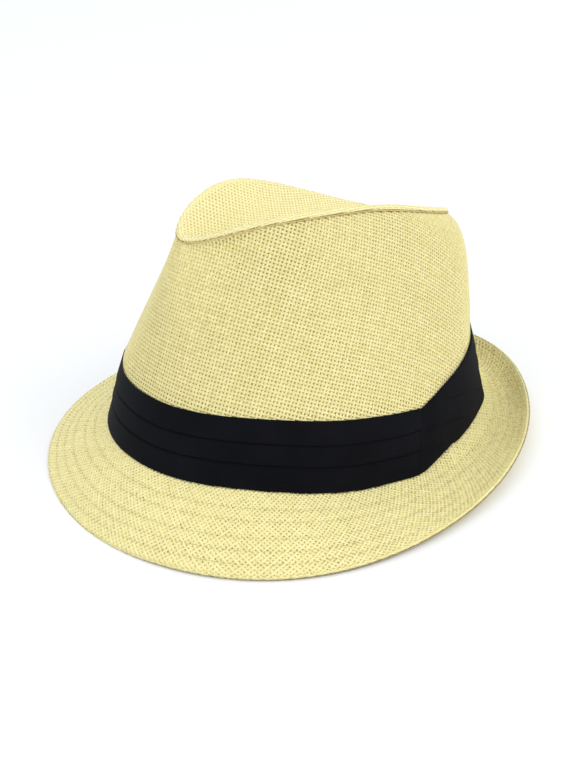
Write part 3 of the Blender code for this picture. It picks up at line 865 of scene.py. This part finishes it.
def sample(grid, x):
    """Values of a grid at fractional places."""
    i = np.clip(np.floor(x[:, 0]).astype(int), 0, grid.shape[0] - 2)
    j = np.clip(np.floor(x[:, 1]).astype(int), 0, grid.shape[1] - 2)
    u, v = (x[:, 0] - i)[:, None], (x[:, 1] - j)[:, None]
    return (grid[i, j] * (1 - u) * (1 - v) + grid[i + 1, j] * u * (1 - v)
            + grid[i, j + 1] * (1 - u) * v + grid[i + 1, j + 1] * u * v)


def tip_threads(rng):
    flat_x, flat_y, section, normal = tip_pattern()
    last = section.shape[1] - 1
    ia = np.arange(math.floor(flat_x.min() / TIP_PITCHES[0]) - 1, math.ceil(flat_x.max() / TIP_PITCHES[0]) + 2)
    ib = np.arange(math.floor(flat_y.min() / TIP_PITCHES[1]) - 1, math.ceil(flat_y.max() / TIP_PITCHES[1]) + 2)
    a, b = np.meshgrid(ia, ib, indexing="ij")
    fx, fy = a * TIP_PITCHES[0], b * TIP_PITCHES[1]
    near = np.ones(fx.shape, bool)
    x = np.full(near.shape + (2,), -9.0)
    good = np.zeros(near.shape, bool)
    x[near], good[near] = invert_fine(flat_x, flat_y, fx[near], fy[near])
    inside = good & (x[..., 1] >= 0.0)
    pieces = []
    for swap, sign, half, name in ((False, 1.0, 0.84, "tip_rows"), (True, -1.0, 0.915, "tip_columns")):
        xx = x.transpose(1, 0, 2) if swap else x
        ins, ok = (inside.T, good.T) if swap else (inside, good)
        lines = []
        for r, k0, k1 in runs(ins):
            if k1 - k0 < 1:
                continue
            at = [xx[r, c] for c in range(k0, k1 + 1)]
            par = [1.0 if (r + c) % 2 == 0 else -1.0 for c in range(k0, k1 + 1)]
            for end, step in ((k0, -1), (k1, 1)):
                out = end + step
                if 0 <= out < ok.shape[1] and ok[r, out]:
                    p0, p1 = xx[r, end], xx[r, out].copy()
                    p1[0] += 360.0 * round((p0[0] - p1[0]) / 360.0)
                    w = p0[1] / max(p0[1] - p1[1], 1e-6)
                    place = p0 + (p1 - p0) * min(max(w, 0.0), 1.0)
                    place[0] += 360.0 if place[0] < 0 else (-360.0 if place[0] > 365.5 else 0.0)
                    if w > 0.15:
                        (at.insert(0, place), par.insert(0, 0.0)) if step < 0 else (at.append(place), par.append(0.0))
            at, par = np.array(at), np.array(par) * sign
            m = len(at)
            inner = at.copy()
            inner[:, 1] = np.clip(inner[:, 1], 0.0, last)
            q, nn = sample(section, inner), unit(sample(normal, inner))
            along = unit(np.gradient(q, axis=0))
            side = unit(np.cross(nn, along))
            width = half * (1.0 + 0.012 * rng.normal() + wander(rng, m, 0.03, 1))
            centre = q - nn * 0.55 + nn * (par * 0.10)[:, None] + side * wander(rng, m, 0.03, 2)[:, None]
            tone = 0.06 + 0.03 * rng.normal() + wander(rng, m, 0.04, 2)
            lines.append((centre, side, nn, width, 0.33, tone, rng.uniform(0, 50)))
        pieces.append(tubes(name, lines, tip_straw, rng))
    return pieces


def tip_cloth():
    around = 240
    turn = np.arange(around) * 2 * math.pi / around
    section = tip_section(turn)
    middle = (section[-1] + section[-1][(-np.arange(around)) % around]) / 2
    section[-1] = middle
    across = np.gradient(section, axis=0)
    along = np.roll(section, -1, 1) - np.roll(section, 1, 1)
    n = unit(np.cross(along, across))
    n = n * np.sign(n[-4, :, 2].mean())
    n[-1] = UP
    outer = section - n * 0.55
    inner = section - n * 0.85
    outer[-1] = section[-1] - UP * 0.6
    inner[-1] = section[-1] - UP * 0.9
    return shell("tip_cloth", list(outer) + list(inner[::-1]), tip_backing, folded=len(outer) - 1)


def seam_stitches(rng):
    """A cord along the seam under the rolled edge, and the small stitches that hold it. Their brown, darker than the
    straw, is partly the thread's own colour and partly painted shade of the groove under the roll.
    """
    fine = np.linspace(0.0, 2 * math.pi, 721)
    n = plan_normal(seam_line, fine)
    p = seam_line(fine) - UP * 0.05 + n * 0.10
    length = np.concatenate([[0.0], np.cumsum(np.linalg.norm(np.diff(p, axis=0), axis=1))])
    lines = []
    along = unit(np.gradient(p, axis=0))
    side = unit(np.cross(n, along))
    lines.append((p, side, n, 0.34, 0.26, 0.0, 0.0))
    count = int(length[-1] / 2.6)
    for c in range(count):
        s = (c + 0.5 + rng.normal(0, 0.04)) * length[-1] / count + np.array([0.0, 0.35, 0.7, 1.05])
        turn = np.interp(s % length[-1], length, fine)
        nn = plan_normal(seam_line, turn)
        q = seam_line(turn) + nn * np.array([0.05, 0.40, 0.42, 0.10])[:, None] + UP * np.array([-0.65, -0.20, 0.40, 0.80])[:, None]
        al = unit(np.gradient(q, axis=0))
        sd = unit(np.cross(nn, al))
        lines.append((q, sd, nn, 0.13, 0.13, rng.normal(0, 0.1), c * 3.0))
    return tubes("seam_stitches", lines, seam_thread_and_painted_shade, rng)


# ---------------------------------------------------------------- the band and its wrap
PLEATS = (0.0, 0.37, 0.67, 1.0)

# How far the lower and upper edges of the band and its wrap stand above an even ring, in millimetres
EDGE_COLUMNS = ("turn", "lift_low", "lift_high")
EDGES = (
    (-180.0, 0.0, 0.0), (-85.0, 0.0, 0.0), (-60.0, 0.0, -1.3), (-40.0, 0.0, -2.0), (-25.0, 0.0, -1.9),
    (-10.0, 0.0, -1.6), (5.0, 0.0, -1.1), (25.0, 0.0, -0.7), (50.0, 0.0, -0.3), (70.0, 0.0, -0.3), (84.0, 0.0, -0.4),
    (90.0, 0.0, -0.6), (96.0, -0.3, -1.3), (102.0, -0.5, -2.3), (105.0, -0.4, -3.0), (107.5, 0.2, -3.7),
    (112.0, 1.2, -1.2), (118.0, 2.8, 1.3), (121.5, 1.9, 2.0), (125.0, 2.2, 2.4), (132.0, 2.3, 2.7),
    (138.0, 1.9, 2.6), (144.0, 0.9, 1.9), (150.0, 0.0, 0.9), (156.0, 0.0, 0.0), (180.0, 0.0, 0.0),
)
WRAP_START_LOW, WRAP_START_HIGH, WRAP_END = 101.5, 107.5, 150.0

# Folds of the wrap, each a line from one turn and share of the height to another
CREASE_COLUMNS = ("turn_from", "share_from", "turn_to", "share_to", "proud")
CREASES = (
    (117.0, 0.80, 143.0, 0.26, 0.50),
    (102.0, 0.645, 127.0, 0.26, 0.55),
    (101.0, 0.35, 115.0, 0.14, 0.42),
)


def edge_lift(turn, name):
    degrees = (np.degrees(turn) + 180.0) % 360.0 - 180.0
    return np.interp(degrees, column(EDGES, EDGE_COLUMNS, "turn"), column(EDGES, EDGE_COLUMNS, name))


def band_edges(turn, wrap):
    low, high = foot(turn), top(turn)
    degrees = np.degrees(turn) % 360.0
    rise = unit(high - low)
    low = low + rise * edge_lift(turn, "lift_low")[..., None]
    high = high + rise * edge_lift(turn, "lift_high")[..., None]
    if not wrap:
        under_low = smooth((degrees - WRAP_START_LOW) / 3.0) * smooth((WRAP_END - degrees) / 3.0)
        under_high = smooth((degrees - WRAP_START_HIGH) / 3.0) * smooth((WRAP_END - degrees) / 3.0)
        low = low + rise * (0.3 * under_low)[..., None]
        high = high - rise * (1.2 * under_high)[..., None]
    return low, high


def pleat_profile():
    """Shares of the band's height and how far the face stands out there, for three overlapping pleats."""
    rows = []
    for number, (a, b) in enumerate(zip(PLEATS[:-1], PLEATS[1:])):
        if number:
            rows.append((a - 0.004, -0.02))       # the face runs in under the fold above
            rows.append((a - 0.002, 0.10))
        for share, proud in ((0.0, 0.40), (0.015, 0.50), (0.05, 0.52), (0.2, 0.44), (0.4, 0.33), (0.6, 0.22), (0.8, 0.11), (1.0, 0.0)):
            v = a + (b - a) * share
            if number and share == 0.0:
                v += 0.001
            rows.append((v, proud))
    return rows


def kink_swell(degrees, share):
    """The cloth is thicker where the band goes under the wrap, most at its lower edge."""
    away = (degrees - WRAP_START_LOW + 180.0) % 360.0 - 180.0
    return 2.1 * np.exp(-((away / np.where(away < 0, 5.0, 7.0)) ** 2)) * (1.0 - share) ** 1.5


def hat_band(rng):
    turn = np.arange(480) * 2 * math.pi / 480
    low, high = band_edges(turn, False)
    n = plan_normal(foot, turn)
    rise = unit(high - low)
    outer, inner = [], []
    slow, drift = wander(rng, len(turn), 0.02, 9), wander(rng, len(turn), 0.003, 12)
    for v, proud in pleat_profile():
        at = v + (drift * 4 * v * (1 - v))[:, None]
        face = low + (high - low) * at
        stand = BAND_STAND + (BAND_STAND_TOP - BAND_STAND) * v
        # the upper fold lies close to the straw
        swell = kink_swell(np.degrees(turn), v)[:, None]
        outer.append(face + n * (proud - 0.5 - 0.45 * v ** 3 + slow[:, None] * (1 - v) + swell))
        inner.append(face - n * (stand - GAP + 0.15))
    outer.append(high + rise * 0.22 - n * (BAND_STAND_TOP - 0.30))
    return shell("hat_band_cloth", outer + inner[::-1][::4] + [inner[0]], band_cloth)


def crease_height(degrees, share):
    """How far the wrap's folds stand out: proud just above each fold's edge, falling away higher up."""
    out = np.zeros_like(share)
    for turn_a, share_a, turn_b, share_b, proud in CREASES:
        along = (degrees - turn_a) / (turn_b - turn_a)
        line = share_a + (share_b - share_a) * along + 0.03 * np.sin(along * math.pi)
        window = smooth((along + 0.10) / 0.25) * smooth((1.10 - along) / 0.25)
        over = share - line
        out = out + proud * window * np.where(over > 0, smooth(over / 0.012) * np.exp(-over / 0.16), 0.0)
        out = out - 0.30 * window * np.exp(-((over + 0.008) / 0.009) ** 2)
    return out


def band_wrap(rng):
    count, rows = 120, 110
    band_profile = tuple(np.array(pleat_profile()).T)
    u = np.linspace(0.0, 1.0, count)
    columns_of = []
    for j, share in enumerate(np.linspace(0.0, 1.0, rows)):
        start = WRAP_START_LOW + (WRAP_START_HIGH - WRAP_START_LOW) * share
        degrees = start + (WRAP_END - start) * u
        turn = np.radians(degrees)
        low, high = band_edges(turn, True)
        n = plan_normal(foot, turn)
        face = low + (high - low) * share
        edge = min(share, 1 - share)
        rounding = 0.25 * (1 - smooth(np.array(edge / 0.03)))
        swell = kink_swell(degrees, share)
        flare = 0.9 * np.exp(-((degrees - 147.0) / 6.0) ** 2) * (1 - share) ** 3
        own = 0.50 - 0.75 * share ** 3 + flare + crease_height(degrees, np.full(count, share)) - rounding
        # it starts and ends level with the band's own pleats
        band = np.interp(share, *band_profile) - 0.5 - 0.45 * share ** 3 + 0.05
        take = smooth(u / 0.16) * smooth((1 - u) / 0.05)
        stand = swell + band + (own - band) * take
        columns_of.append((face + n * stand[:, None], face + n * (stand - 0.35)[:, None]))
    outer = [c[0] for c in columns_of]
    inner = [c[1] for c in columns_of]
    columns = np.stack(outer + inner[::-1], 1)       # turn by outline
    count, ring = columns.shape[:2]
    points = columns.reshape(-1, 3)
    j, i = np.meshgrid(np.arange(count - 1), np.arange(ring), indexing="ij")
    m = (i + 1) % ring
    quads = np.stack([j * ring + i, j * ring + m, (j + 1) * ring + m, (j + 1) * ring + i], -1).reshape(-1, 4)
    a, b, c, d = (points[quads[:, x]] for x in range(4))
    inward = (np.sum(a * np.cross(b, c)) + np.sum(a * np.cross(c, d))) < 0
    # the two ends are closed with strips between the outer and the inner face
    ends, half = [], len(outer)
    for base, turned in ((0, True), ((count - 1) * ring, False)):
        for x in range(half - 1):
            face = [base + x, base + x + 1, base + ring - 2 - x, base + ring - 1 - x]
            ends.append(face[::-1] if turned else face)
    all_quads = np.concatenate([quads, np.array(ends)])
    if inward:
        all_quads = all_quads[:, ::-1]
    length = np.concatenate([[0.0], np.cumsum(np.linalg.norm(np.diff(columns[:, 0], axis=0), axis=1))])
    girth = np.concatenate([[0.0], np.cumsum(np.linalg.norm(np.diff(columns[count // 2], axis=0), axis=1))])
    where = np.clip(all_quads // ring, 0, count - 1)
    around = all_quads % ring
    uv = np.stack([length[where], girth[around]], -1)
    return build("band_wrap_cloth", points, all_quads, wrap_cloth, uv)


# ---------------------------------------------------------------- make the pieces
rng = np.random.default_rng(7)
rows, columns = crown_threads(rng)
join = crown_join(rng)
side_cloth = crown_cloth()
for piece in (rows, columns, join, side_cloth):
    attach(piece, "root")
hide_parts("crown_side")

brim_right, brim_left = brim_threads(rng)
under_cloth = brim_cloth()
stitches = brim_stitches(rng)
overcast = edge_stitches_and_painted_shadow(rng)
for piece in (brim_right, brim_left, under_cloth, stitches, overcast):
    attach(piece, "root")
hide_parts("brim")

tip_right, tip_left = tip_threads(rng)
lid_cloth = tip_cloth()
lid_stitches = seam_stitches(rng)
for piece in (tip_right, tip_left, lid_cloth, lid_stitches):
    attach(piece, "root")
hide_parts("crown_tip")

band = hat_band(rng)
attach(band, "root")
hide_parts("hat_band")
wrap = band_wrap(rng)
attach(wrap, "root")
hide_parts("band_wrap")

# ---------------------------------------------------------------- camera
AZIMUTH, ELEVATION, ROLL = math.radians(56.0676), math.radians(24.4535), math.radians(1.0781)
DISTANCE, ACROSS, ABOVE = 698.814, -3.1818, 12.9195
back = np.array([math.sin(AZIMUTH) * math.cos(ELEVATION), -math.cos(AZIMUTH) * math.cos(ELEVATION), math.sin(ELEVATION)])
right = np.array([math.cos(AZIMUTH), math.sin(AZIMUTH), 0.0])
upward = np.cross(back, right)
eye = right * ACROSS + upward * ABOVE + back * DISTANCE
right, upward = right * math.cos(ROLL) + upward * math.sin(ROLL), upward * math.cos(ROLL) - right * math.sin(ROLL)


def tipped(v):
    c, s = math.cos(TILT), math.sin(TILT)
    return np.array([v[0], v[1] * c + v[2] * s, v[2] * c - v[1] * s])


camera_data = bpy.data.cameras.new("camera")
camera_data.lens = 1318.604 * 36.0 / 768.0
camera_data.sensor_width = 36.0
camera_data.clip_start = 0.01
camera = bpy.data.objects.new("camera", camera_data)
bpy.context.collection.objects.link(camera)
place = Matrix.Identity(4)
for i in range(3):
    place[i][0], place[i][1], place[i][2] = tipped(right)[i], tipped(upward)[i], tipped(back)[i]
    place[i][3] = (tipped(eye) + SHIFT)[i] * 0.001
camera.matrix_world = place
bpy.context.scene.camera = camera

# ---------------------------------------------------------------- floor and light
floor_mesh = bpy.data.meshes.new("floor")
floor_mesh.from_pydata([(-6, -6, 0), (6, -6, 0), (6, 6, 0), (-6, 6, 0)], [], [(0, 1, 2, 3)])
floor = bpy.data.objects.new("floor", floor_mesh)
bpy.context.collection.objects.link(floor)
paper, tree, nodes, links, shader = nodes_of("floor_paper")
shader.inputs["Base Color"].default_value = (0.905, 0.905, 0.915, 1.0)
shader.inputs["Roughness"].default_value = 0.9
shader.inputs["Specular IOR Level"].default_value = 0.1
floor_mesh.materials.append(paper)

world = bpy.data.worlds.new("world")
bpy.context.scene.world = world
world.use_nodes = True
world.node_tree.nodes["Background"].inputs["Color"].default_value = (0.95, 0.975, 1.0, 1.0)
world.node_tree.nodes["Background"].inputs["Strength"].default_value = 1.08


def soft_light(name, where, size, power, colour=(1, 1, 1), at=(0, 0, 0.05)):
    data = bpy.data.lights.new(name, "AREA")
    data.shape = "DISK"
    data.size = size
    data.energy = power
    data.color = colour
    lamp = bpy.data.objects.new(name, data)
    bpy.context.collection.objects.link(lamp)
    lamp.location = where
    from mathutils import Vector
    lamp.rotation_mode = "QUATERNION"
    lamp.rotation_quaternion = (Vector(at) - Vector(where)).to_track_quat("-Z", "Y")
    return lamp


# the camera looks from the hat's front left; the main light stands to the picture's right
soft_light("main", (1.25, 0.45, 1.6), 1.0, 6.5, (1.0, 0.99, 0.97))
soft_light("low", (1.6, 0.3, 0.5), 0.8, 3.0, (1.0, 0.99, 0.97))
soft_light("front", (0.2, -1.5, 1.3), 0.9, 1.0)

scene = bpy.context.scene
scene.view_settings.view_transform = "Standard"
scene.view_settings.look = "None"
scene.view_settings.exposure = 0.0
